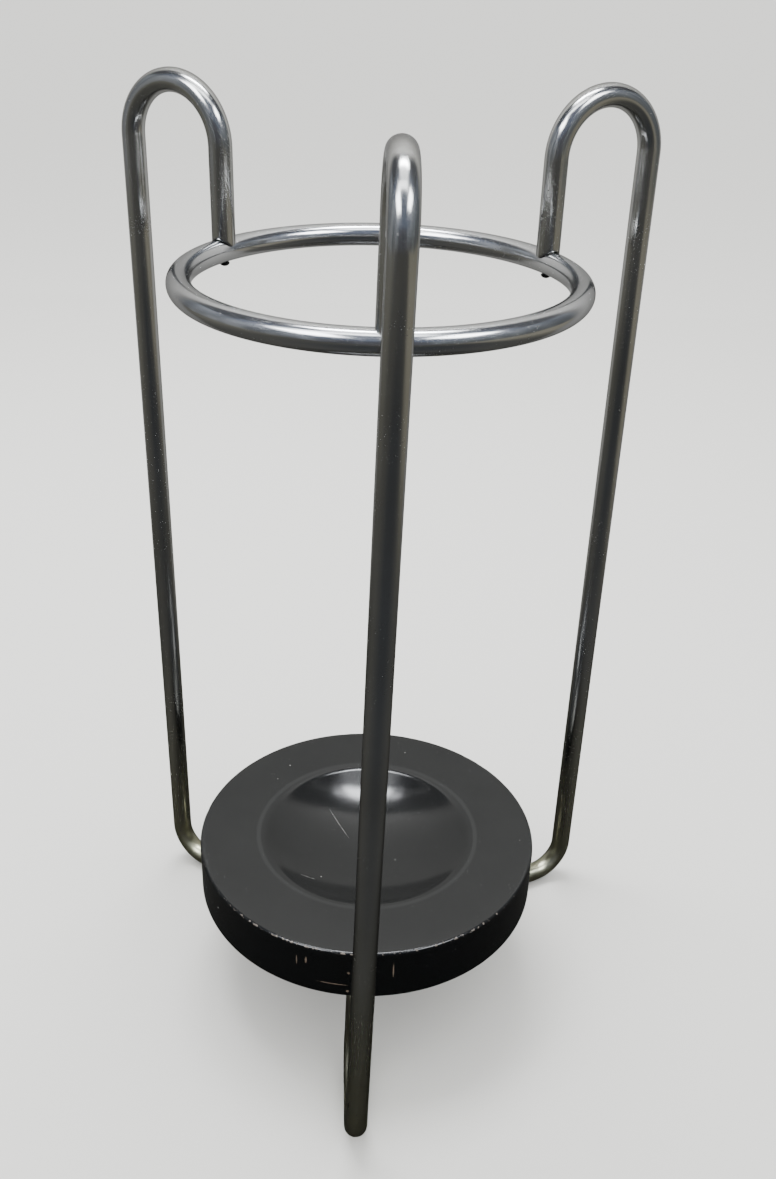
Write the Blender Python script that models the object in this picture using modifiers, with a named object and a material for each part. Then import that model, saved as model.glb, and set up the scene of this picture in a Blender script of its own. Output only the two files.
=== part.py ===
"""Free-standing holder: three bent chromed tubes, a tube ring on top and a dished lacquered disc."""
import math

import bmesh
import bpy
from mathutils import Matrix, Vector

# Driving dimensions, in metres. Z = 0 is the floor that the tube bends stand on.
TUBE_R = 0.008              # every tube is 16 mm outside
TUBE_WALL = 0.0012
GAP = 0.0003                # clearance that touching pieces keep

RING_R = 0.1275             # centreline radius of the top ring
RING_Z = 0.576              # centreline height of the top ring
LEG_R = 0.2035              # centreline radius of the upright run of each leg
LEG_TOP_Z = 0.681           # centreline height of the crown of each leg
FOOT_BEND_R = 0.027         # centreline radius of the two bends on the floor
DISC_JOINTS = {"front": -90.0, "right": 30.0, "left": 150.0}     # azimuths, in degrees
RING_JOINTS = {"front": -85.7, "right": 30.0, "left": 150.0}     # the front leg leans a little

DISC_R = 0.1355
DISC_TOP_Z = 0.1235
DISC_THICK = 0.0445
DISH_R = 0.085              # where the spherical dish meets the flat top
DISH_DEPTH = 0.026
DISH_LIP_R = 0.017          # soft rounding between the dish and the flat top
RIM_TOP_R = 0.0025
RIM_BOTTOM_R = 0.0035

PLUG_LEN = 0.020
PLUG_CHAMFER = 0.0005
SCREW_R = 0.002             # M4 shank
SCREW_HEAD_R = 0.0035
SCREW_HEAD_H = 0.0026
SCREW_REACH = 0.0245        # from the ring's centreline to the screw's tip
CROSS_WIDTH = 0.0009
CROSS_SPAN = 0.0040
CROSS_DEPTH = 0.0012
PIN_R = 0.003
PIN_LEN = 0.030
PIN_CHAMFER = 0.0005

# Mesh fineness
TUBE_SIDES = 16
CROWN_STEPS = 14
FOOT_STEPS = 6
RING_STEPS = 48
DISC_STEPS = 72
DISH_STEPS = 8
ROUND_STEPS = 4
SMALL_SIDES = 16

# Values that follow from the dimensions above
AXIS_Y = (LEG_R + TUBE_R - max(RING_R + TUBE_R, DISC_R)) / 2   # puts the origin mid-way, front to back
AXIS = Vector((0.0, AXIS_Y, 0.0))
TUBE_BORE_R = TUBE_R - TUBE_WALL
DISC_BOTTOM_Z = DISC_TOP_Z - DISC_THICK
CROWN_R = (LEG_R - RING_R) / 2
HOLE_R = SCREW_R + GAP


def clear_scene():
    for obj in list(bpy.data.objects):
        bpy.data.objects.remove(obj, do_unlink=True)


def new_collection(name):
    group = bpy.data.collections.new(name)
    bpy.context.scene.collection.children.link(group)
    return group


def make_material(name, color, metallic, roughness, coat=0.0):
    mat = bpy.data.materials.new(name)
    mat.use_nodes = True
    shader = mat.node_tree.nodes["Principled BSDF"]
    shader.inputs["Base Color"].default_value = (*color, 1.0)
    shader.inputs["Metallic"].default_value = metallic
    shader.inputs["Roughness"].default_value = roughness
    shader.inputs["Coat Weight"].default_value = coat
    return mat


def add_mesh(name, bm, group, mat=None):
    bmesh.ops.recalc_face_normals(bm, faces=bm.faces)
    mesh = bpy.data.meshes.new(name)
    bm.to_mesh(mesh)
    bm.free()
    obj = bpy.data.objects.new(name, mesh)
    group.objects.link(obj)
    if mat:
        mesh.materials.append(mat)
    return obj


def cylinder(name, radius, length, group, mat=None, chamfer=0.0):
    """A round bar along Z, centred on its own origin, with an optional chamfer on both ends."""
    bm = bmesh.new()
    bmesh.ops.create_cone(bm, cap_ends=True, segments=SMALL_SIDES, radius1=radius, radius2=radius,
                          depth=length)
    obj = add_mesh(name, bm, group, mat)
    if chamfer:
        bevel = obj.modifiers.new("chamfer", "BEVEL")
        bevel.width = chamfer
        bevel.segments = 1
        bevel.limit_method = "ANGLE"
        bevel.angle_limit = math.radians(60)
    return obj


def turned(name, outline, steps, group, mat):
    """A profile of (radius, height) points, listed from the top down, turned about the Z axis."""
    mesh = bpy.data.meshes.new(name)
    verts = [(radius, 0.0, height) for radius, height in outline]
    mesh.from_pydata(verts, [(i, i + 1) for i in range(len(verts) - 1)], [])
    mesh.materials.append(mat)
    obj = bpy.data.objects.new(name, mesh)
    group.objects.link(obj)
    screw = obj.modifiers.new("turn", "SCREW")
    screw.axis = "Z"
    screw.angle = math.tau
    screw.steps = steps
    screw.render_steps = steps
    screw.use_merge_vertices = True
    screw.merge_threshold = 0.00001
    return obj


def cut(target, cutter):
    cutter.hide_render = True
    cutter.display_type = "WIRE"
    boolean = target.modifiers.new("cut_" + cutter.name, "BOOLEAN")
    boolean.operation = "DIFFERENCE"
    boolean.solver = "EXACT"
    boolean.object = cutter


def torus(name, radius, group, mat=None):
    """A ring of tube on the holder's axis at the height of the top ring."""
    bpy.ops.mesh.primitive_torus_add(major_radius=RING_R, minor_radius=radius, major_segments=RING_STEPS,
                                     minor_segments=TUBE_SIDES, location=AXIS + Vector((0, 0, RING_Z)))
    obj = bpy.context.object
    obj.name = name
    obj.data.name = name
    for owner in list(obj.users_collection):
        owner.objects.unlink(obj)
    group.objects.link(obj)
    if mat:
        obj.data.materials.append(mat)
    return obj


def arc(centre_x, centre_z, radius, start_deg, end_deg, steps):
    """Points of an arc in the XZ plane, both ends included."""
    turns = [math.radians(start_deg + (end_deg - start_deg) * i / steps) for i in range(steps + 1)]
    return [(centre_x + radius * math.cos(a), centre_z + radius * math.sin(a)) for a in turns]


def on_circle(azimuth, height):
    """The point of the ring's circle at an azimuth in degrees, moved to a height."""
    turn = math.radians(azimuth)
    return AXIS + Vector((RING_R * math.cos(turn), RING_R * math.sin(turn), height))


def inner_line(side):
    """Foot and direction of the line through a leg's ring joint and its disc joint; Z rises by 1."""
    low = on_circle(DISC_JOINTS[side], DISC_BOTTOM_Z)
    high = on_circle(RING_JOINTS[side], RING_Z)
    rise = (high - low) / (high.z - low.z)
    return low - rise * low.z, rise


def place_on_line(obj, side, height):
    """Puts a turned fitting on the leg's inner line, with its centre at this height."""
    foot, rise = inner_line(side)
    obj.location = foot + rise * height
    obj.rotation_mode = "QUATERNION"
    obj.rotation_quaternion = Vector((0, 0, 1)).rotation_difference(rise)
    return obj


def riser_end(side):
    """Height of a riser's end, which stays clear of the disc even where the leg leans."""
    rise = inner_line(side)[1]
    return DISC_BOTTOM_Z - GAP - TUBE_R * math.hypot(rise.x, rise.y)


def leg_path(side):
    """Centreline of a leg in space, from the ring, over the crown and the floor, to the disc."""
    crown_z = LEG_TOP_Z - CROWN_R
    foot_z = TUBE_R + FOOT_BEND_R
    flat = [(RING_R, RING_Z)]
    flat += arc(RING_R + CROWN_R, crown_z, CROWN_R, 180, 0, CROWN_STEPS)
    flat += arc(LEG_R - FOOT_BEND_R, foot_z, FOOT_BEND_R, 0, -90, FOOT_STEPS)
    flat += arc(RING_R + FOOT_BEND_R, foot_z, FOOT_BEND_R, -90, -180, FOOT_STEPS)
    flat.append((RING_R, riser_end(side)))
    turn = math.radians(RING_JOINTS[side])
    outwards = Vector((math.cos(turn), math.sin(turn), 0.0))
    foot, rise = inner_line(side)
    return [foot + rise * z + outwards * (reach - RING_R) for reach, z in flat]


def leg_tube(side, group, mat, saddle):
    """One bent, hollow tube: its upper end is coped to sit on the ring."""
    curve = bpy.data.curves.new("leg_path_" + side, "CURVE")
    curve.dimensions = "3D"
    curve.bevel_depth = TUBE_R
    curve.bevel_resolution = TUBE_SIDES // 2 - 2
    path = leg_path(side)
    spline = curve.splines.new("POLY")
    spline.points.add(len(path) - 1)
    for point, place in zip(spline.points, path):
        point.co = (*place, 1.0)
    rail = bpy.data.objects.new("leg_path_" + side, curve)
    bpy.context.scene.collection.objects.link(rail)
    bpy.context.view_layer.update()

    evaluated = rail.evaluated_get(bpy.context.evaluated_depsgraph_get())
    mesh = bpy.data.meshes.new_from_object(evaluated)
    mesh.name = "leg_tube_" + side
    mesh.materials.clear()
    mesh.materials.append(mat)
    leg = bpy.data.objects.new("leg_tube_" + side, mesh)
    group.objects.link(leg)
    bpy.data.objects.remove(rail, do_unlink=True)

    wall = leg.modifiers.new("wall", "SOLIDIFY")
    wall.thickness = TUBE_WALL
    wall.offset = -1.0
    wall.use_even_offset = True
    cut(leg, saddle)


def top_plug(side, group, cutters, mat):
    """Threaded plug in the coped end of a leg, which the ring screw pulls on."""
    middle = RING_Z + TUBE_R + 2 * GAP + PLUG_LEN / 2
    plug = cylinder("top_plug_" + side, TUBE_BORE_R - GAP, PLUG_LEN, group, mat, PLUG_CHAMFER)
    bore = cylinder("top_plug_bore_" + side, HOLE_R, 2 * PLUG_LEN, cutters)
    place_on_line(plug, side, middle)
    cut(plug, place_on_line(bore, side, middle))


def ring_screw(side, group, cutters, mat):
    """Domed screw that goes up through the ring into the leg's plug."""
    seat = -TUBE_R - GAP            # heights here are from the ring's centreline
    lead = SCREW_R / 4
    dome = [(SCREW_HEAD_R * math.cos(math.radians(a)), seat - SCREW_HEAD_H * math.sin(math.radians(a)))
            for a in (20, 45, 70)]
    outline = [(0.0, SCREW_REACH), (SCREW_R - lead, SCREW_REACH), (SCREW_R, SCREW_REACH - lead),
               (SCREW_R, seat), (SCREW_HEAD_R, seat)] + dome + [(0.0, seat - SCREW_HEAD_H)]
    screw = place_on_line(turned("ring_screw_" + side, outline, SMALL_SIDES, group, mat), side, RING_Z)
    size = Matrix.Diagonal((CROSS_SPAN, CROSS_WIDTH, 2 * CROSS_DEPTH, 1))
    for turn in (45, 135):
        bm = bmesh.new()
        bmesh.ops.create_cube(bm, size=1.0, matrix=Matrix.Rotation(math.radians(turn), 4, "Z") @ size)
        slot = add_mesh("cross_%d_%s" % (turn, side), bm, cutters)
        cut(screw, place_on_line(slot, side, RING_Z + seat - SCREW_HEAD_H))


def bottom_plug(side, group, cutters, mat):
    """Bored plug in the riser under the disc, which the disc's pin drops into."""
    plug = cylinder("bottom_plug_" + side, TUBE_BORE_R - GAP, PLUG_LEN, group, mat, PLUG_CHAMFER)
    place_on_line(plug, side, riser_end(side) - PLUG_LEN / 2)
    bore = cylinder("bottom_plug_bore_" + side, PIN_R + GAP, PIN_LEN + 2 * GAP, cutters)
    cut(plug, place_on_line(bore, side, DISC_BOTTOM_Z))


def disc_pin(side, group, mat):
    pin = cylinder("disc_pin_" + side, PIN_R, PIN_LEN, group, mat, PIN_CHAMFER)
    place_on_line(pin, side, DISC_BOTTOM_Z)


def top_ring(group, cutters, mat):
    """Hollow tube ring, welded shut, with a clear hole for each leg's screw."""
    ring = torus("top_ring", TUBE_R, group, mat)
    wall = ring.modifiers.new("wall", "SOLIDIFY")
    wall.thickness = TUBE_WALL
    wall.offset = -1.0
    for side in RING_JOINTS:
        hole = cylinder("ring_hole_" + side, HOLE_R, 4 * TUBE_R, cutters)
        cut(ring, place_on_line(hole, side, RING_Z))


def disc_outline():
    """Section of the disc from the middle of the dish, over the rim, to the middle of the underside."""
    sphere_r = (DISH_R ** 2 + DISH_DEPTH ** 2) / (2 * DISH_DEPTH)
    centre_z = DISC_TOP_Z - DISH_DEPTH + sphere_r
    # The lip is an arc that touches the flat top from below and the dish from inside the wood.
    lip_z = DISC_TOP_Z - DISH_LIP_R
    lip_x = math.sqrt((sphere_r + DISH_LIP_R) ** 2 - (centre_z - lip_z) ** 2)
    slope = math.asin(lip_x / (sphere_r + DISH_LIP_R))
    points = []
    for i in range(DISH_STEPS + 1):
        tilt = slope * i / DISH_STEPS
        points.append((sphere_r * math.sin(tilt), centre_z - sphere_r * math.cos(tilt)))
    points += arc(lip_x, lip_z, DISH_LIP_R, 90 + math.degrees(slope), 90, ROUND_STEPS)[1:]
    points += arc(DISC_R - RIM_TOP_R, DISC_TOP_Z - RIM_TOP_R, RIM_TOP_R, 90, 0, ROUND_STEPS)
    points += arc(DISC_R - RIM_BOTTOM_R, DISC_BOTTOM_Z + RIM_BOTTOM_R, RIM_BOTTOM_R, 0, -90, ROUND_STEPS)
    points.append((0.0, DISC_BOTTOM_Z))
    return points


def base_disc(group, cutters, mat):
    """Turned disc with a dished top and a blind hole over each riser."""
    disc = turned("base_disc", disc_outline(), DISC_STEPS, group, mat)
    disc.location = AXIS
    for side in DISC_JOINTS:
        hole = cylinder("disc_hole_" + side, PIN_R + GAP, PIN_LEN + 2 * GAP, cutters)
        cut(disc, place_on_line(hole, side, DISC_BOTTOM_Z))


def build():
    clear_scene()
    group = new_collection("bag_holder")
    cutters = new_collection("cutters")
    chrome = make_material("chrome", (0.60, 0.60, 0.57), 1.0, 0.12)
    ring_chrome = make_material("ring_chrome", (0.62, 0.62, 0.60), 1.0, 0.10)
    dark_steel = make_material("dark_steel", (0.07, 0.07, 0.07), 1.0, 0.35)
    plain_steel = make_material("plain_steel", (0.45, 0.45, 0.44), 1.0, 0.40)
    lacquer = make_material("black_lacquer", (0.02, 0.022, 0.023), 0.0, 0.30, coat=0.6)

    top_ring(group, cutters, ring_chrome)
    saddle = torus("saddle_cutter", TUBE_R + GAP, cutters)
    for side in RING_JOINTS:
        leg_tube(side, group, chrome, saddle)
        top_plug(side, group, cutters, plain_steel)
        ring_screw(side, group, cutters, dark_steel)
        bottom_plug(side, group, cutters, plain_steel)
        disc_pin(side, group, plain_steel)
    base_disc(group, cutters, lacquer)


build()
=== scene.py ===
"""Looks of the bent-tube holder: fine tubes, ring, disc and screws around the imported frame."""
import math

import bmesh
import bpy
from mathutils import Matrix, Vector, noise


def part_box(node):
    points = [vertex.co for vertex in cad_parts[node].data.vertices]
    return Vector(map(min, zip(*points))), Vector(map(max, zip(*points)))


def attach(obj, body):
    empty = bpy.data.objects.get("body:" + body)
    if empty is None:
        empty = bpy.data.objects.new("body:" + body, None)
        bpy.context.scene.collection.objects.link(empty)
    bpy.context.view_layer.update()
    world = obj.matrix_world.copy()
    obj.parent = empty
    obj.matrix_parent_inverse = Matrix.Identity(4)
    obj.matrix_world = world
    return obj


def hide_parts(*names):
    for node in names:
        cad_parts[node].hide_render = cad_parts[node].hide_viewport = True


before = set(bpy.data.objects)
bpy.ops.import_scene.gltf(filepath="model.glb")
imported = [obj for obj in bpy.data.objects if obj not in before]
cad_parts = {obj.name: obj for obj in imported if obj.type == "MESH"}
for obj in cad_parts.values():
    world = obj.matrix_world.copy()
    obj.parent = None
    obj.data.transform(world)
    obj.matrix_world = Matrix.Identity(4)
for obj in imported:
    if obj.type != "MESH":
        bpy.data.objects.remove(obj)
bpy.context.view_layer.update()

SIDES = ("front", "right", "left")
ring_low, ring_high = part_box("top_ring")
disc_low, disc_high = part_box("base_disc")

# Sizes read from the frame, in metres
TUBE_R = (ring_high.z - ring_low.z) / 2
RING_Z = (ring_high.z + ring_low.z) / 2
RING_R = (ring_high.x - ring_low.x) / 2 - TUBE_R
DISC_R = (disc_high.x - disc_low.x) / 2
DISC_TOP_Z = disc_high.z
DISC_BOTTOM_Z = disc_low.z
LEG_TOP_Z = max(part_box("leg_tube_" + side)[1].z for side in SIDES) - TUBE_R
AXIS = Vector((0.0, (disc_high.y + disc_low.y) / 2, 0.0))

# Sizes that the boxes don't give, the same as in the CAD model, in metres
LEG_R = 0.2035              # from the axis to the middle of a leg's outer upright
FOOT_BEND_R = 0.027
TUBE_WALL = 0.0012
GAP = 0.0003                # clearance that touching pieces keep
DISH_R = 0.085
DISH_DEPTH = 0.026
DISH_LIP_R = 0.017          # soft rounding between the dish and the flat top
RIM_TOP_R = 0.0025
RIM_BOTTOM_R = 0.0035
SCREW_R = 0.002
SCREW_HEAD_R = 0.0035
SCREW_HEAD_H = 0.0026
SCREW_REACH = 0.0245        # from the ring's centreline up to the screw's tip
PIN_R = 0.003
PIN_LEN = 0.030

# Where each leg stands round the axis, in degrees: on the disc and on the ring
DISC_JOINTS = {"front": -90.0, "right": 30.0, "left": 150.0}
RING_JOINTS = {"front": -85.7, "right": 30.0, "left": 150.0}

CROWN_R = (LEG_R - RING_R) / 2

# Looks of the shapes
COPE_GAP = 0.0006           # the dark line that shows between a leg's end and the ring
COPE_H = 1.7 * TUBE_R       # how far above the ring's centreline a leg's coped end has room
BEND_FLAT = 0.03            # how much a bend flattens the tube
RECESS = (0.0040, 0.0008, 0.0026)       # each arm of a screw's cross recess
RECESS_TAPER = 0.35         # how narrow the recess is at its bottom
KNOCK_REACH = 0.004         # how far from the disc's upper edge the knocks go
KNOCK_DEPTH = 0.0011

# How finely the shapes are divided
TUBE_SIDES = 56
BORE_SIDES = 24
RING_STEPS = 240
DISC_STEPS = 360
SMALL_SIDES = 48
ARC_STEPS = 8


# ---------------------------------------------------------------- mesh helpers

def new_object(name, mesh):
    obj = bpy.data.objects.new(name, mesh)
    bpy.context.scene.collection.objects.link(obj)
    return obj


def smooth(mesh, sharp_deg=40.0):
    """Smooth shading, but for the edges that are sharper than this."""
    mesh.shade_smooth()
    mesh.set_sharp_from_angle(angle=math.radians(sharp_deg))


def mesh_of(name, bm):
    """An object made of the bmesh, facing outwards, smooth but for its sharp edges."""
    bmesh.ops.recalc_face_normals(bm, faces=bm.faces)
    mesh = bpy.data.meshes.new(name)
    bm.to_mesh(mesh)
    bm.free()
    smooth(mesh)
    return new_object(name, mesh)


def skin(bm, rings, closed):
    """Quads between each ring of points and the next; closed also joins the last to the first.

    The attribute "round" keeps each point's place round its ring, for streaks along a tube.
    """
    layer = bm.verts.layers.float_vector.new("round")
    rows = []
    for ring in rings:
        row = [bm.verts.new(point) for point in ring]
        for i, vert in enumerate(row):
            turn = math.tau * i / len(row)
            vert[layer] = (math.cos(turn), math.sin(turn), 0.0)
        rows.append(row)
    pairs = list(zip(rows, rows[1:]))
    if closed:
        pairs.append((rows[-1], rows[0]))
    for low, high in pairs:
        for i in range(len(low)):
            j = (i + 1) % len(low)
            bm.faces.new((low[i], low[j], high[j], high[i]))
    return rows


def lathe(name, outline, steps, worn=None):
    """Turns (radius, height) points, which begin and end on the Z axis, into a closed body."""
    bm = bmesh.new()
    rings = []
    for radius, height in outline[1:-1]:
        ring = []
        for i in range(steps):
            turn = math.tau * i / steps
            point = Vector((radius * math.cos(turn), radius * math.sin(turn), height))
            ring.append(worn(point) if worn else point)
        rings.append(ring)
    rows = skin(bm, rings, closed=False)
    for row, (_, height) in ((rows[0], outline[0]), (rows[-1], outline[-1])):
        tip = bm.verts.new((0.0, 0.0, height))
        for i in range(steps):
            bm.faces.new((row[i], row[(i + 1) % steps], tip))
    return mesh_of(name, bm)


def bar(name, radius, length):
    bm = bmesh.new()
    bmesh.ops.create_cone(bm, cap_ends=True, segments=SMALL_SIDES, radius1=radius, radius2=radius,
                          depth=length)
    return mesh_of(name, bm)


def torus(name, radius, steps, sides):
    """A ring of round bar on the top ring's centreline."""
    bm = bmesh.new()
    rings = []
    for i in range(steps):
        turn = math.tau * i / steps
        out = Vector((math.cos(turn), math.sin(turn), 0.0))
        centre = AXIS + out * RING_R + Vector((0, 0, RING_Z))
        angles = [math.tau * j / sides for j in range(sides)]
        rings.append([centre + out * (radius * math.cos(a)) + Vector((0, 0, radius * math.sin(a)))
                      for a in angles])
    skin(bm, rings, closed=True)
    return mesh_of(name, bm)


def carve(target, cutters):
    """Cuts the cutters out of the target, keeps it as plain mesh and removes the cutters."""
    for cutter in cutters:
        boolean = target.modifiers.new("cut", "BOOLEAN")
        boolean.operation = "DIFFERENCE"
        boolean.solver = "EXACT"
        boolean.object = cutter
    bpy.context.view_layer.update()
    evaluated = target.evaluated_get(bpy.context.evaluated_depsgraph_get())
    carved = bpy.data.meshes.new_from_object(evaluated)
    target.modifiers.clear()
    target.data = carved
    for cutter in cutters:
        bpy.data.objects.remove(cutter, do_unlink=True)


def set_normals(mesh, surface_normal):
    """Gives each corner the normal of the true surface, unless its face belongs to a cut."""
    least_facing = 0.9
    normals = []
    for face in mesh.polygons:
        for index in face.vertices:
            true = surface_normal(mesh.vertices[index].co)
            facing = face.normal.dot(true)
            on_surface = abs(facing) > least_facing
            normals.append(math.copysign(1.0, facing) * true if on_surface else face.normal)
    mesh.normals_split_custom_set(normals)


def place(piece, material, slot, *nodes):
    """The piece stands for CAD nodes, in this material; the slot argument is not used."""
    piece.data.materials.clear()
    piece.data.materials.append(material)
    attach(piece, "root")
    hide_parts(*nodes)


# ---------------------------------------------------------------- the lines that the legs follow

def on_circle(azimuth, height):
    turn = math.radians(azimuth)
    return AXIS + Vector((RING_R * math.cos(turn), RING_R * math.sin(turn), height))


def inner_line(side):
    """Foot and direction, which rises by 1, of the line through a leg's two joints."""
    low = on_circle(DISC_JOINTS[side], DISC_BOTTOM_Z)
    high = on_circle(RING_JOINTS[side], RING_Z)
    rise = (high - low) / (high.z - low.z)
    return low - rise * low.z, rise


def stand_on_line(obj, side, height):
    """Puts a turned fitting on the leg's inner line, as plain mesh in the frame's own axes."""
    foot, rise = inner_line(side)
    turn = Vector((0, 0, 1)).rotation_difference(rise).to_matrix().to_4x4()
    obj.data.transform(Matrix.Translation(foot + rise * height) @ turn)
    return obj


def riser_end(side):
    """Height of a riser's end, which stays clear of the disc even where the leg leans."""
    rise = inner_line(side)[1]
    return DISC_BOTTOM_Z - GAP - TUBE_R * math.hypot(rise.x, rise.y)


def run(start, end, heading, steps):
    """Stations along a straight: (reach, height, heading in degrees, how flattened)."""
    (reach, height), (last_reach, last_height) = start, end
    return [(reach + (last_reach - reach) * i / steps, height + (last_height - height) * i / steps,
             heading, 0.0) for i in range(steps)]


def bend(reach, height, radius, first_deg, last_deg, steps):
    """Stations round a clockwise bend, where the flattening comes in and goes out softly."""
    stations = []
    for i in range(steps):
        angle = first_deg + (last_deg - first_deg) * i / steps
        turn = math.radians(angle)
        flat = BEND_FLAT * math.sin(math.pi * i / steps) ** 0.5
        stations.append((reach + radius * math.cos(turn), height + radius * math.sin(turn),
                         angle - 90, flat))
    return stations


def stations_of(side, start_z):
    """The whole centreline, from just above the ring, over the crown and the floor, to the disc."""
    crown_z = LEG_TOP_Z - CROWN_R
    foot_z = TUBE_R + FOOT_BEND_R
    inner_foot = RING_R + FOOT_BEND_R
    outer_foot = LEG_R - FOOT_BEND_R
    line = run((RING_R, start_z), (RING_R, crown_z), 90, steps=6)
    line += bend(RING_R + CROWN_R, crown_z, CROWN_R, 180, 0, steps=48)
    line += run((LEG_R, crown_z), (LEG_R, foot_z), -90, steps=40)
    line += bend(outer_foot, foot_z, FOOT_BEND_R, 0, -90, steps=20)
    line += run((outer_foot, TUBE_R), (inner_foot, TUBE_R), -180, steps=3)
    line += bend(inner_foot, foot_z, FOOT_BEND_R, -90, -180, steps=20)
    line += run((RING_R, foot_z), (RING_R, riser_end(side)), -270, steps=6)
    line.append((RING_R, riser_end(side), -270, 0.0))
    return line


# ---------------------------------------------------------------- pieces

def coped_end(side, out, across, radius, clearance):
    """The closed curve in which a tube of this radius, standing on the ring, ends."""
    halvings = 30
    foot, rise = inner_line(side)
    points = []
    for i in range(TUBE_SIDES):
        turn = math.tau * i / TUBE_SIDES
        offset = (out * math.cos(turn) + across * math.sin(turn)) * radius
        low, high = RING_Z, RING_Z + 2 * TUBE_R
        for _ in range(halvings):
            middle = (low + high) / 2
            point = foot + rise * middle + offset
            reach = math.hypot(point.x - AXIS.x, point.y - AXIS.y) - RING_R
            inside = math.hypot(reach, point.z - RING_Z) < TUBE_R + clearance
            low, high = (middle, high) if inside else (low, middle)
        points.append(foot + rise * high + offset)
    return points


def leg(side, material):
    """A bent tube with its bore, rounded at both rims and coped to stand on the ring."""
    foot, rise = inner_line(side)
    turn = math.radians(RING_JOINTS[side])
    outwards = Vector((math.cos(turn), math.sin(turn), 0.0))
    across = outwards.cross(rise).normalized()
    line = stations_of(side, RING_Z + COPE_H)

    def ring_at(station, radius):
        reach, height, heading, flat = station
        heading = math.radians(heading)
        along = outwards * math.cos(heading) + rise * math.sin(heading)
        inwards = across.cross(along.normalized())
        centre = foot + rise * height + outwards * (reach - RING_R)
        angles = [math.tau * i / TUBE_SIDES for i in range(TUBE_SIDES)]
        return [centre + inwards * (radius * (1 - flat) * math.cos(a))
                + across * (radius * (1 + flat) * math.sin(a)) for a in angles]

    inwards = across.cross(rise.normalized())

    def cope(radius, clearance):
        return coped_end(side, inwards, across, radius, clearance)

    def between(first, last, steps):
        return [[a.lerp(b, i / steps) for a, b in zip(first, last)] for i in range(steps)]

    bore = TUBE_R - TUBE_WALL
    edge = TUBE_WALL / 4
    rings = between(cope(TUBE_R, COPE_GAP + edge), ring_at(line[0], TUBE_R), steps=5)
    rings += [ring_at(station, TUBE_R) for station in line[:-1]]
    reach, end_z, heading, flat = line[-1]
    for radius, drop in ((TUBE_R, edge), (TUBE_R - edge / 3, edge / 3), (TUBE_R - edge, 0.0),
                         (bore + edge, 0.0), (bore, edge)):
        rings.append(ring_at((reach, end_z - drop, heading, flat), radius))
    rings += [ring_at(station, bore) for station in line[-2::-2]]
    rings += between(ring_at(line[0], bore), cope(bore, COPE_GAP + edge), steps=2)
    rings += [cope(bore, COPE_GAP + edge), cope(bore + edge, COPE_GAP)]
    rings += [cope(TUBE_R - edge, COPE_GAP), cope(TUBE_R - edge / 3, COPE_GAP + edge / 3)]
    bm = bmesh.new()
    skin(bm, rings, closed=True)
    place(mesh_of("leg_" + side, bm), material, "chrome", "leg_tube_" + side)


def ring(material):
    """The welded ring: a hollow tube with a clear hole for each screw."""
    tube = torus("ring", TUBE_R, RING_STEPS, TUBE_SIDES)
    bore = torus("ring_bore", TUBE_R - TUBE_WALL, RING_STEPS // 2, BORE_SIDES)
    holes = [stand_on_line(bar("ring_hole", SCREW_R + GAP, 4 * TUBE_R), side, RING_Z)
             for side in SIDES]
    carve(tube, [bore] + holes)

    def from_centreline(point):
        out = Vector((point.x - AXIS.x, point.y - AXIS.y, 0.0)).normalized()
        return (point - AXIS - out * RING_R - Vector((0, 0, RING_Z))).normalized()

    set_normals(tube.data, from_centreline)
    place(tube, material, "chrome", "top_ring")


def recess_arm(turn_deg, height):
    """Cutter for one arm of a cross recess, whose mouth is in the screw's head at this height."""
    bm = bmesh.new()
    turn = Matrix.Rotation(math.radians(turn_deg), 4, "Z")
    bmesh.ops.create_cube(bm, size=1.0, matrix=turn @ Matrix.Diagonal((*RECESS, 1)))
    for vert in bm.verts:
        if vert.co.z > 0:
            vert.co.x *= RECESS_TAPER
            vert.co.y *= RECESS_TAPER
    bmesh.ops.translate(bm, verts=bm.verts, vec=(0, 0, height))
    return mesh_of("cross_cutter", bm)


def screw(side, material):
    """Domed machine screw with a cross recess and a plain shank."""
    seat = -TUBE_R - GAP        # heights here are from the ring's centreline
    edge = 0.0002
    tip_r, tip_h = SCREW_R * 0.7, 0.0006
    dome_steps = 10
    outline = [(0.0, SCREW_REACH), (tip_r, SCREW_REACH), (SCREW_R, SCREW_REACH - tip_h),
               (SCREW_R, seat), (SCREW_HEAD_R - edge, seat), (SCREW_HEAD_R, seat - edge)]
    for i in range(1, dome_steps):
        turn = math.radians(90.0 * i / dome_steps)
        outline.append((SCREW_HEAD_R * math.cos(turn),
                        seat - edge - (SCREW_HEAD_H - edge) * math.sin(turn)))
    outline.append((0.0, seat - SCREW_HEAD_H))
    body = lathe("screw_" + side, outline, SMALL_SIDES)
    carve(body, [recess_arm(turn_deg, seat - SCREW_HEAD_H) for turn_deg in (45, 135)])
    smooth(body.data, 35.0)
    stand_on_line(body, side, RING_Z)
    place(body, material, "dark_screw", "ring_screw_" + side)


def arc(centre_x, centre_z, radius, start_deg, end_deg):
    """Points round part of a circle, with both its ends."""
    turns = [math.radians(start_deg + (end_deg - start_deg) * i / ARC_STEPS)
             for i in range(ARC_STEPS + 1)]
    return [(centre_x + radius * math.cos(a), centre_z + radius * math.sin(a)) for a in turns]


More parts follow.
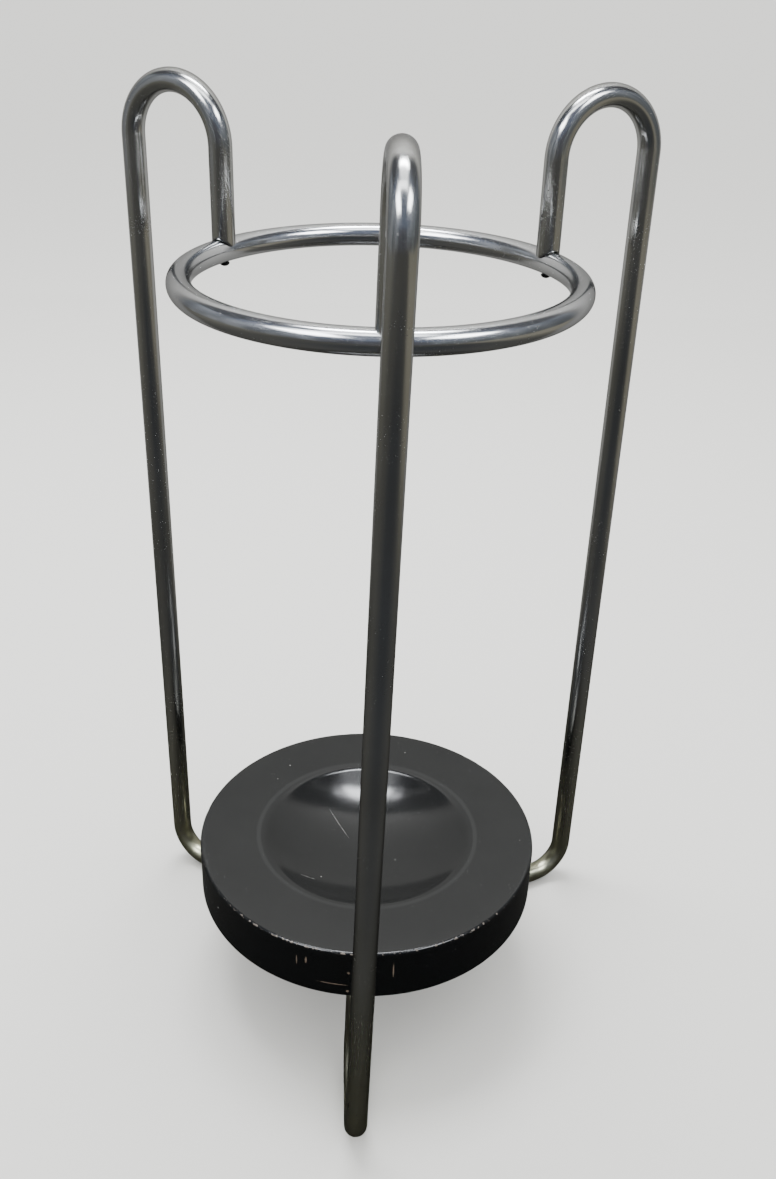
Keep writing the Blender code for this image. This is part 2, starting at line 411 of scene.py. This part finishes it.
def disc_outline():
    """Section of the disc: from the dish's middle, over the rim, to the underside's middle."""
    sphere_r = (DISH_R ** 2 + DISH_DEPTH ** 2) / (2 * DISH_DEPTH)
    centre_z = DISC_TOP_Z - DISH_DEPTH + sphere_r
    lip_z = DISC_TOP_Z - DISH_LIP_R
    lip_x = math.sqrt((sphere_r + DISH_LIP_R) ** 2 - (centre_z - lip_z) ** 2)
    slope = math.asin(lip_x / (sphere_r + DISH_LIP_R))
    dish_steps, top_steps, wall_steps = 24, 6, 12
    points = []
    for i in range(dish_steps + 1):
        tilt = slope * i / dish_steps
        points.append((sphere_r * math.sin(tilt), centre_z - sphere_r * math.cos(tilt)))
    points += arc(lip_x, lip_z, DISH_LIP_R, 90 + math.degrees(slope), 90)[1:]
    rim_x = DISC_R - RIM_TOP_R
    points += [(lip_x + (rim_x - lip_x) * i / top_steps, DISC_TOP_Z) for i in range(1, top_steps)]
    points += arc(rim_x, DISC_TOP_Z - RIM_TOP_R, RIM_TOP_R, 90, 0)
    low_z = DISC_BOTTOM_Z + RIM_BOTTOM_R
    wall = DISC_TOP_Z - RIM_TOP_R - low_z
    points += [(DISC_R, low_z + wall * (1 - i / wall_steps)) for i in range(1, wall_steps)]
    points += arc(DISC_R - RIM_BOTTOM_R, low_z, RIM_BOTTOM_R, 0, -90)
    points += [(DISC_R * 0.6, DISC_BOTTOM_Z), (DISC_R * 0.2, DISC_BOTTOM_Z), (0.0, DISC_BOTTOM_Z)]
    return points


def worn_edge(point):
    """Knocks on the upper rim: it is a little lower and further in where it was hit."""
    knock_scale, ripple_scale, least_knock = 90.0, 400.0, 0.12
    off_edge = math.hypot(math.hypot(point.x, point.y) - DISC_R, point.z - DISC_TOP_Z)
    near_rim = 1 - min(1.0, off_edge / KNOCK_REACH)
    if near_rim <= 0:
        return point
    knock = max(0.0, noise.noise(Vector((point.x, point.y, 0.0)) * knock_scale) - least_knock)
    ripple = 0.5 + noise.noise(Vector((point.x, point.y, 3.0)) * ripple_scale)
    bite = KNOCK_DEPTH * near_rim * knock * ripple
    inwards = Vector((point.x, point.y, 0.0)).normalized() * -bite
    return point + inwards - Vector((0, 0, bite * 0.6))


def disc(material):
    """Turned disc with its dish, a worn upper rim and a blind hole over each riser."""
    body = lathe("disc", disc_outline(), DISC_STEPS, worn_edge)
    body.data.transform(Matrix.Translation(AXIS))
    holes = [stand_on_line(bar("disc_hole", PIN_R + GAP, PIN_LEN + 2 * GAP), side, DISC_BOTTOM_Z)
             for side in SIDES]
    carve(body, holes)
    smooth(body.data)
    place(body, material, "black_lacquer", "base_disc")


# ---------------------------------------------------------------- materials

class Nodes:
    """A material's node tree, with short calls for the nodes that the materials here use."""

    def __init__(self, name):
        self.material = bpy.data.materials.new(name)
        self.material.use_nodes = True
        self.tree = self.material.node_tree
        self.shader = self.tree.nodes["Principled BSDF"]
        self.object = self.tree.nodes.new("ShaderNodeTexCoord").outputs["Object"]

    def add(self, kind, **links):
        """A node; each keyword is an input's name, with _ for a space, and a value or a socket."""
        node = self.tree.nodes.new(kind)
        for key, value in links.items():
            self.feed(node.inputs[key.replace("_", " ")], value)
        return node

    def feed(self, socket, value):
        if isinstance(value, bpy.types.NodeSocket):
            self.tree.links.new(value, socket)
        else:
            socket.default_value = value

    def math(self, operation, first, second=0.0):
        node = self.tree.nodes.new("ShaderNodeMath")
        node.operation = operation
        self.feed(node.inputs[0], first)
        self.feed(node.inputs[1], second)
        return node.outputs[0]

    def plus(self, value, extra, share):
        """The value with this share of another added."""
        return self.math("ADD", value, self.math("MULTIPLY", extra, share))

    def parts(self, vector=None):
        """The X, Y and Z of a vector, or of the object coordinates."""
        return self.add("ShaderNodeSeparateXYZ", Vector=vector or self.object).outputs

    def length(self, vector):
        node = self.tree.nodes.new("ShaderNodeVectorMath")
        node.operation = "LENGTH"
        self.feed(node.inputs[0], vector)
        return node.outputs["Value"]

    def stretched(self, place_at=(0, 0, 0), turn=0.0, size=(1, 1, 1)):
        """Object coordinates measured from a place, turned about Z, in units of a size per axis."""
        node = self.tree.nodes.new("ShaderNodeMapping")
        node.vector_type = "TEXTURE"
        self.feed(node.inputs["Vector"], self.object)
        node.inputs["Location"].default_value = place_at
        node.inputs["Rotation"].default_value = (0.0, 0.0, turn)
        node.inputs["Scale"].default_value = size
        return node.outputs["Vector"]

    def noise(self, scale, detail=3.0, vector=None):
        node = self.add("ShaderNodeTexNoise", Vector=vector or self.object, Scale=scale,
                        Detail=detail)
        return node.outputs["Fac"]

    def specks(self, scale, size):
        """1 at the middle of scattered dots, 0 away from them; size is a share of their spacing."""
        node = self.add("ShaderNodeTexVoronoi", Vector=self.object, Scale=scale)
        return self.between(node.outputs["Distance"], size, size * 0.4)

    def between(self, value, low, high, to_low=0.0, to_high=1.0):
        """Maps low and high to to_low and to_high, and holds the result between those."""
        node = self.add("ShaderNodeMapRange", Value=value, To_Min=to_low, To_Max=to_high)
        node.inputs["From Min"].default_value = low
        node.inputs["From Max"].default_value = high
        return node.outputs["Result"]

    def mix(self, factor, first, second):
        node = self.tree.nodes.new("ShaderNodeMix")
        node.data_type = "RGBA"
        self.feed(node.inputs["Factor"], factor)
        for socket, colour in ((node.inputs[6], first), (node.inputs[7], second)):
            self.feed(socket, (*colour, 1.0) if isinstance(colour, tuple) else colour)
        return node.outputs[2]

    def spot(self, place_at, turn, half, ragged=0.0):
        """1 within an ellipsoid of these half sizes, 0 outside, with a ragged edge if asked for."""
        reach = self.length(self.stretched(place_at, turn, half))
        if ragged:
            reach = self.plus(reach, self.noise(900.0), ragged)
        return self.between(reach, 1.0 + ragged * 0.5, 0.7 + ragged * 0.5)

    def marks(self, places, ragged=0.0):
        """1 inside any of these marks, each a place, a turn about Z and half sizes."""
        marked = 0.0
        for place_at, turn, half in places:
            marked = self.math("MAXIMUM", self.spot(place_at, turn, half, ragged), marked)
        return marked

    def bump(self, height, distance, strength=1.0):
        node = self.add("ShaderNodeBump", Height=height, Distance=distance, Strength=strength)
        self.feed(self.shader.inputs["Normal"], node.outputs["Normal"])

    def set(self, **values):
        for key, value in values.items():
            self.feed(self.shader.inputs[key.replace("_", " ")], value)
        return self.material


def along_tube(m, reach):
    """Coordinates that draw a pattern out: a unit is a radius across and this reach along."""
    round_it = m.tree.nodes.new("ShaderNodeAttribute")
    round_it.attribute_name = "round"
    slow = m.stretched(size=(reach, reach, reach))
    total = m.tree.nodes.new("ShaderNodeVectorMath")
    total.operation = "ADD"
    m.feed(total.inputs[0], round_it.outputs["Vector"])
    m.feed(total.inputs[1], slow)
    return total.outputs["Vector"]


def scuffing(m, places):
    """Nicks and short lines along the tube, within the scuffed places."""
    lines = m.between(m.noise(16.0, 2.0, along_tube(m, 0.030)), 0.64, 0.70)
    nicks = m.math("MAXIMUM", lines, m.specks(620.0, 0.24))
    return m.math("MULTIPLY", m.marks(places, ragged=0.8), nicks)


def chrome(name, clean, dull, dullness, scuffs):
    """Old chrome plate: polishing lines along the tube, a dull film, pits and scuffed places.

    Near the floor the plate has gone yellow and rougher.
    """
    m = Nodes(name)
    film = m.between(m.noise(13.0, 4.0), 0.5 - 0.4 * dullness, 1.0 - 0.4 * dullness)
    lines = m.noise(4.5, 3.0, along_tube(m, 0.60))
    fine_lines = m.noise(26.0, 2.0, along_tube(m, 0.10))
    pits = m.math("MULTIPLY", m.specks(380.0, 0.20), m.between(m.noise(34.0, 2.0), 0.53, 0.66))
    stained = m.mix(film, clean, dull)
    z = m.parts()[2]
    yellowed = m.math("MULTIPLY", m.between(z, 0.24, 0.03), m.between(film, 0.0, 1.0, 0.5, 0.9))
    stained = m.mix(yellowed, stained, (0.58, 0.57, 0.37))
    colour = m.mix(m.math("MULTIPLY", pits, 0.8), stained, (0.33, 0.32, 0.30))
    scuffed = scuffing(m, scuffs)
    colour = m.mix(m.math("MULTIPLY", scuffed, 0.4), colour, (0.80, 0.80, 0.78))
    roughness = m.between(lines, 0.3, 0.7, 0.12, 0.19)
    roughness = m.plus(roughness, film, 0.05)
    roughness = m.plus(roughness, yellowed, 0.20)
    roughness = m.plus(roughness, m.math("MAXIMUM", pits, scuffed), 0.35)
    height = m.plus(m.math("MULTIPLY", lines, 0.8), fine_lines, 0.12)
    dents = m.plus(m.math("MULTIPLY", pits, 0.6), scuffed, 0.3)
    m.bump(m.math("SUBTRACT", height, dents), 0.00004)
    return m.set(Base_Color=colour, Roughness=roughness, Metallic=1.0,
                 Specular_Tint=(0.45, 0.45, 0.45, 1.0))


def plain_steel():
    """Turned steel of the hidden plugs and pins: fine tool marks round the bar."""
    m = Nodes("plain_steel")
    marks = m.noise(60.0, 3.0, m.stretched(size=(1.0, 1.0, 0.02)))
    oil = m.noise(90.0, 3.0)
    m.bump(marks, 0.00005, 0.4)
    return m.set(Base_Color=m.mix(oil, (0.42, 0.41, 0.40), (0.30, 0.28, 0.26)), Metallic=1.0,
                 Roughness=m.between(marks, 0.3, 0.7, 0.28, 0.5))


def dark_screw():
    """Blackened steel, rubbed a little brighter on its high spots."""
    m = Nodes("dark_screw")
    rubbed = m.between(m.noise(700.0, 3.0), 0.52, 0.7)
    m.bump(m.noise(1500.0, 2.0), 0.00005, 0.5)
    return m.set(Base_Color=m.mix(rubbed, (0.035, 0.035, 0.037), (0.16, 0.155, 0.15)), Metallic=1.0,
                 Roughness=m.between(rubbed, 0.0, 1.0, 0.42, 0.28))


def edge_mask(m, edge_r, width):
    """1 on the circle of this radius in the plane of the disc's top, 0 from this far away."""
    x, y, z = m.parts(m.stretched(AXIS))
    radius = m.math("SQRT", m.math("ADD", m.math("POWER", x, 2.0), m.math("POWER", y, 2.0)))
    out = m.math("POWER", m.math("SUBTRACT", radius, edge_r), 2.0)
    down = m.math("POWER", m.math("SUBTRACT", z, DISC_TOP_Z), 2.0)
    return m.between(m.math("SQRT", m.math("ADD", out, down)), width, width * 0.5)


# Wear marks: place, turn about Z, half sizes, in metres and radians
LEG_SCUFFS = (((-0.177, 0.132, 0.582), 0.0, (0.02, 0.02, 0.007)),
              ((0.0, -0.173, 0.520), 0.0, (0.009, 0.02, 0.030)))
RING_SCUFFS = (((-0.062, -0.085, RING_Z + 0.006), 0.0, (0.010, 0.012, 0.006)),)
SCRATCHES = (((-0.0250, 0.0683, 0.104), -0.956, (0.0175, 0.00035, 0.02)),
             ((-0.0445, -0.0066, 0.111), -0.105, (0.0067, 0.00030, 0.02)))
CHIPS = (((-0.0450, -0.0898, 0.1076), -0.45, (0.0005, 0.003, 0.0046)),
         ((-0.0380, -0.0922, 0.1100), -0.38, (0.0009, 0.003, 0.0034)),
         ((0.0266, -0.0948, 0.1065), 0.20, (0.0006, 0.003, 0.0070)),
         ((-0.0180, -0.0963, 0.0915), -0.14, (0.0120, 0.003, 0.0005)),
         ((-0.0061, -0.0974, 0.1040), 0.0, (0.0011, 0.003, 0.0011)),
         ((-0.0066, -0.0973, 0.0855), 0.0, (0.0012, 0.003, 0.0012)))
LIP_HIGHLIGHT_R = DISH_R + 0.0035          # where a painted highlight lies along the dish's soft lip


def dusting(m):
    """Scattered dust, coarse and fine, in some places only."""
    fine = m.math("MULTIPLY", m.specks(150.0, 0.060), 0.22)
    grains = m.math("MAXIMUM", m.specks(48.0, 0.034), fine)
    return m.math("MULTIPLY", grains, m.between(m.noise(9.0), 0.42, 0.5))


def rim_wear_and_highlight(m):
    """Pale places along the disc's upper edge, most of them in front: partly bare wear, partly a
    painted highlight of the rounded rim.
    """
    y = m.parts()[1]
    front_side = m.between(y, AXIS.y - 0.03, AXIS.y - 0.12, 0.66, 0.55)
    rim_noise = m.math("SUBTRACT", m.noise(420.0, 4.0), front_side)
    return m.math("MULTIPLY", edge_mask(m, DISC_R, 0.0016), m.between(rim_noise, 0.0, 0.06))


def dull_paint(m, cloud):
    """Black paint, made paler and mottled where the disc faces up, with a painted highlight along
    the dish's lip.
    """
    normal = m.tree.nodes.new("ShaderNodeNewGeometry").outputs["Normal"]
    facing_up = m.parts(normal)[2]
    patches = m.between(m.noise(30.0, 5.0), 0.3, 0.7, 0.80, 1.0)
    mottled = m.math("MULTIPLY", patches, m.between(m.noise(1100.0, 2.0), 0.3, 0.7, 0.86, 1.10))
    # paler where the disc faces up than on its near-black sides
    film = m.math("MULTIPLY", m.between(facing_up, 0.5, 1.0), mottled)
    # a painted highlight: a paler ring along the dish's soft lip
    painted_lip_highlight = m.math("MULTIPLY", edge_mask(m, LIP_HIGHLIGHT_R, 0.0022), patches)
    paint = m.mix(cloud, (0.0011, 0.0014, 0.0017), (0.0020, 0.0023, 0.0026))
    paint = m.mix(film, paint, (0.0124, 0.0130, 0.0130))
    return m.mix(painted_lip_highlight, paint, (0.0190, 0.0200, 0.0200))


def lacquer():
    """Black lacquer on wood: paler where it faces up, dust specks, scratches, pale rim places that
    are partly wear and partly a painted highlight, a painted highlight on the dish's lip, and chips
    to the wood.
    """
    m = Nodes("black_lacquer")
    cloud = m.noise(16.0, 4.0)
    dust = dusting(m)
    scratched = m.math("MULTIPLY", m.marks(SCRATCHES),
                       m.between(m.noise(500.0), 0.35, 0.6, 0.3, 1.0))
    chipped = m.marks(CHIPS, ragged=1.1)
    # pale places on the rim: partly bare wear, partly a painted highlight of the rounded rim
    worn = rim_wear_and_highlight(m)
    grain = m.noise(600.0, 2.0)
    wood = m.mix(grain, (0.14, 0.10, 0.07), (0.06, 0.042, 0.028))
    # pale colour of the rim's worn places, partly a painted highlight
    pale_rim_wear_and_highlight = m.mix(grain, (0.36, 0.32, 0.28), (0.16, 0.13, 0.11))
    pale = m.math("MAXIMUM", dust, m.math("MULTIPLY", scratched, 0.5))
    colour = m.mix(pale, dull_paint(m, cloud), (0.32, 0.32, 0.31))
    colour = m.mix(chipped, colour, wood)
    colour = m.mix(worn, colour, pale_rim_wear_and_highlight)
    chipped = m.math("MAXIMUM", chipped, worn)
    roughness = m.between(cloud, 0.3, 0.7, 0.115, 0.15)
    rough_spots = m.math("MAXIMUM", m.math("MAXIMUM", dust, chipped), scratched)
    roughness = m.plus(roughness, rough_spots, 0.4)
    ripple = m.math("MULTIPLY", m.noise(260.0, 2.0), 0.12)
    m.bump(m.math("SUBTRACT", ripple, m.math("MAXIMUM", chipped, scratched)), 0.0001, 0.8)
    return m.set(Base_Color=colour, Roughness=roughness, IOR=1.57)


# ---------------------------------------------------------------- floor, light, camera

# What stood round the photographed holder, in metres, as the chrome mirrors it
ROOM_HALF = 3.4             # from the middle to the side walls
ROOM_FRONT = -6.0
ROOM_REAR = 2.0
CEILING_Z = 2.6
CEILING_SPLIT_Y = -0.1      # where the lighter near part of the ceiling meets the darker rear part
SHEET_HALF = 1.0
SHEET_FOOT_Y = 0.42         # the sheet leans back from its foot to its top
SHEET_TOP_Y = 0.85
SHEET_TOP = 2.55
DEEPEST_SHADE = (0.30, -1.20, 0.0)      # place on the carpet, near where the camera stood
HOLDER_SHADE = (0.02, AXIS.y - 0.03, 0.0)
NEAR_CEILING = (0.20, 0.23, 0.31)
REAR_CEILING = (0.12, 0.125, 0.14)

# Ceiling lamps: name, middle, half sizes, how much of them fades out, power, ceiling behind
LAMPS = (("over_lamp", (0.0, 0.215), (0.85, 0.19), 0.5, 38.0, REAR_CEILING),
         ("near_lamp", (0.0, -0.30), (0.80, 0.28), 0.3, 2.6, NEAR_CEILING),
         ("cross_lamp", (-0.30, -0.86), (1.35, 0.26), 0.4, 6.0, NEAR_CEILING),
         ("left_lamp", (-1.60, -1.85), (0.80, 0.90), 0.15, 12.0, NEAR_CEILING),
         ("right_lamp", (1.90, -1.45), (0.75, 0.75), 0.15, 12.0, NEAR_CEILING))


def card(name, corners, glow):
    """A studio card that only mirrors see: it lights nothing and the camera doesn't see it."""
    mesh = bpy.data.meshes.new(name)
    mesh.from_pydata(corners, [], [tuple(range(len(corners)))])
    obj = new_object(name, mesh)
    m = Nodes(name)
    colour = glow(m) if callable(glow) else (*glow, 1.0)
    mesh.materials.append(m.set(Base_Color=(0.0, 0.0, 0.0, 1.0), Specular_IOR_Level=0.0,
                                Emission_Color=colour, Emission_Strength=1.0))
    m.material.cycles.emission_sampling = "NONE"
    obj.visible_camera = False
    obj.visible_diffuse = False
    obj.visible_shadow = False
    obj.visible_transmission = False


def level_card(name, x_span, y_span, z, glow):
    (x0, x1), (y0, y1) = x_span, y_span
    card(name, [(x0, y0, z), (x1, y0, z), (x1, y1, z), (x0, y1, z)], glow)


def upright_card(name, first, last, height, glow):
    """A card standing on the line between two points of the floor."""
    (x0, y0), (x1, y1) = first, last
    card(name, [(x0, y0, 0.0), (x1, y1, 0.0), (x1, y1, height), (x0, y0, height)], glow)


def leaning_card(name, half, foot_y, top_y, height, glow):
    """A card whose top edge is further back than its foot."""
    card(name, [(-half, foot_y, 0), (half, foot_y, 0), (half, top_y, height),
                (-half, top_y, height)], glow)


def floor_glow(m):
    """A dark carpet, darkest under the holder and in front of it, and paler floor on both sides."""
    pile = m.noise(60.0, 3.0)
    lit_carpet = m.mix(pile, (0.078, 0.078, 0.073), (0.116, 0.115, 0.107))
    shaded_carpet = m.mix(pile, (0.044, 0.047, 0.051), (0.065, 0.069, 0.074))
    in_light = m.between(m.length(m.stretched(DEEPEST_SHADE)), 0.50, 1.30)
    carpet = m.mix(in_light, shaded_carpet, lit_carpet)
    from_holder = m.between(m.length(m.stretched(HOLDER_SHADE)), 0.16, 0.36)
    carpet = m.mix(from_holder, (0.034, 0.034, 0.032), carpet)
    x, y, _ = m.parts()
    half_y = m.math("MULTIPLY", y, 0.5)
    rightwards = m.math("ADD", half_y, x)
    leftwards = m.math("SUBTRACT", half_y, x)
    carpet = m.mix(m.between(rightwards, 0.80, 1.45), carpet, (0.30, 0.285, 0.235))
    return m.mix(m.between(leftwards, 0.80, 1.90), carpet, (0.18, 0.177, 0.155))


def sheet_glow(m):
    """A hung white sheet, brighter towards the ceiling's lights and dimmer at its sides."""
    x, _, height = m.parts()
    sheet = m.mix(m.between(height, 0.0, SHEET_TOP), (0.26, 0.26, 0.25), (1.90, 1.90, 1.88))
    return m.mix(m.between(m.math("ABSOLUTE", x), 0.65, 1.00), sheet, (0.26, 0.26, 0.26))


def soft_lamp(middle, half, feather, power, ceiling):
    """A cool lamp's glow, whole in the middle and fading out over this share of its half size."""
    def glow(m):
        x, y, _ = m.parts(m.stretched((*middle, 0.0), size=(*half, 1.0)))
        inside_x = m.between(m.math("ABSOLUTE", x), 1.0, 1.0 - feather)
        inside_y = m.between(m.math("ABSOLUTE", y), 1.0, 1.0 - feather)
        lit = (power, power * 1.03, power * 1.07)
        return m.mix(m.math("MULTIPLY", inside_x, inside_y), ceiling, lit)
    return glow


def wall_glow(low, high):
    """A wall, this bright at the floor and at the ceiling, with soft upright bands."""
    def glow(m):
        bands = m.noise(1.4, 2.0, m.stretched(size=(1.0, 1.0, 4.0)))
        height = m.parts()[2]
        wall = m.mix(m.between(height, 0.2, 2.4), low, high)
        return m.mix(m.between(bands, 0.40, 0.60, 0.55, 0.0), wall, (0.035, 0.040, 0.050))
    return glow


def floor():
    """The plain pale studio floor."""
    mesh = bpy.data.meshes.new("floor")
    half = 40.0
    mesh.from_pydata([(-half, -half, 0), (half, -half, 0), (half, half, 0), (-half, half, 0)], [],
                     [(0, 1, 2, 3)])
    obj = new_object("floor", mesh)
    m = Nodes("pale_floor")
    mesh.materials.append(m.set(Base_Color=(0.80, 0.80, 0.78, 1.0), Roughness=0.9))


def reflection_room():
    """What the chrome mirrors: a dark floor, a white sheet, a dim room and its ceiling lamps."""
    width = (-ROOM_HALF, ROOM_HALF)
    depth = (ROOM_FRONT, ROOM_REAR)
    just_over_floor = 0.0002
    level_card("floor_card", width, depth, just_over_floor, floor_glow)
    level_card("near_ceiling_card", width, (ROOM_FRONT, CEILING_SPLIT_Y), CEILING_Z, NEAR_CEILING)
    level_card("rear_ceiling_card", width, (CEILING_SPLIT_Y, ROOM_REAR), CEILING_Z, REAR_CEILING)
    leaning_card("sheet_card", SHEET_HALF, SHEET_FOOT_Y, SHEET_TOP_Y, SHEET_TOP, sheet_glow)
    front_left, front_right = (-ROOM_HALF, ROOM_FRONT), (ROOM_HALF, ROOM_FRONT)
    rear_left, rear_right = (-ROOM_HALF, ROOM_REAR), (ROOM_HALF, ROOM_REAR)
    dim_wall = wall_glow((0.13, 0.135, 0.15), (0.17, 0.175, 0.20))
    left_wall = wall_glow((0.28, 0.29, 0.30), (0.45, 0.49, 0.56))
    right_wall = wall_glow((0.21, 0.22, 0.22), (0.40, 0.44, 0.51))
    upright_card("front_card", front_left, front_right, CEILING_Z, dim_wall)
    upright_card("rear_card", rear_left, rear_right, CEILING_Z, (0.30, 0.30, 0.29))
    upright_card("left_card", front_left, rear_left, CEILING_Z, left_wall)
    upright_card("right_card", front_right, rear_right, CEILING_Z, right_wall)
    lamp_z = CEILING_Z - 0.02
    for name, (x, y), (half_x, half_y), feather, power, ceiling in LAMPS:
        level_card(name, (x - half_x, x + half_x), (y - half_y, y + half_y), lamp_z,
                   soft_lamp((x, y), (half_x, half_y), feather, power, ceiling))


def area_light(name, place_at, aim, size, power):
    """A soft box that mirrors don't see."""
    light = bpy.data.lights.new(name, "AREA")
    light.shape = "RECTANGLE"
    light.size, light.size_y = size
    light.energy = power
    obj = bpy.data.objects.new(name, light)
    bpy.context.scene.collection.objects.link(obj)
    obj.location = place_at
    obj.rotation_euler = (Vector(aim) - Vector(place_at)).to_track_quat("-Z", "Y").to_euler()
    obj.visible_glossy = False


def lights():
    """An even pale studio, brighter where the camera looks straight at it, and one soft box."""
    plain, seen = 1.7, 2.2
    world = bpy.data.worlds.new("studio")
    world.use_nodes = True
    tree = world.node_tree
    tree.nodes["Background"].inputs["Color"].default_value = (1.0, 1.0, 0.985, 1.0)
    path = tree.nodes.new("ShaderNodeLightPath")
    strength = tree.nodes.new("ShaderNodeMapRange")
    strength.inputs["To Min"].default_value = plain
    strength.inputs["To Max"].default_value = seen
    tree.links.new(path.outputs["Is Camera Ray"], strength.inputs["Value"])
    tree.links.new(strength.outputs["Result"], tree.nodes["Background"].inputs["Strength"])
    bpy.context.scene.world = world
    area_light("ceiling_light", place_at=(-0.35, 0.80, 2.2), aim=(0.0, 0.04, 0.1),
               size=(1.3, 0.8), power=52.0)


def camera():
    """The photograph's viewing angle, from a camera model fitted to the holder's shape."""
    eye = (0.0270, -0.7229, 0.7766)
    yaw, pitch, roll = -0.0214, 0.5101, 0.0325
    forward = Vector((math.sin(yaw) * math.cos(pitch), math.cos(yaw) * math.cos(pitch),
                      -math.sin(pitch)))
    level = Vector((math.cos(yaw), -math.sin(yaw), 0.0))
    upright = level.cross(forward)
    right = level * math.cos(roll) + upright * math.sin(roll)
    up = upright * math.cos(roll) - level * math.sin(roll)
    data = bpy.data.cameras.new("camera")
    data.lens = 36.55
    data.sensor_width = 36.0
    obj = bpy.data.objects.new("camera", data)
    bpy.context.scene.collection.objects.link(obj)
    turn = Matrix((right, up, -forward)).transposed()
    obj.matrix_world = Matrix.Translation(eye) @ turn.to_4x4()
    bpy.context.scene.camera = obj


# ---------------------------------------------------------------- the whole scene

def build():
    leg_chrome = chrome("leg_chrome", (0.60, 0.60, 0.59), (0.46, 0.458, 0.435), 0.6, LEG_SCUFFS)
    ring_chrome = chrome("ring_chrome", (0.70, 0.705, 0.71), (0.60, 0.60, 0.59), 0.3, RING_SCUFFS)
    steel = plain_steel()
    screw_black = dark_screw()
    for side in SIDES:
        leg(side, leg_chrome)
        screw(side, screw_black)
        for node in ("top_plug_" + side, "bottom_plug_" + side, "disc_pin_" + side):
            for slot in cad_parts[node].material_slots:
                slot.material = steel
    ring(ring_chrome)
    disc(lacquer())
    floor()
    reflection_room()
    lights()
    camera()


build()
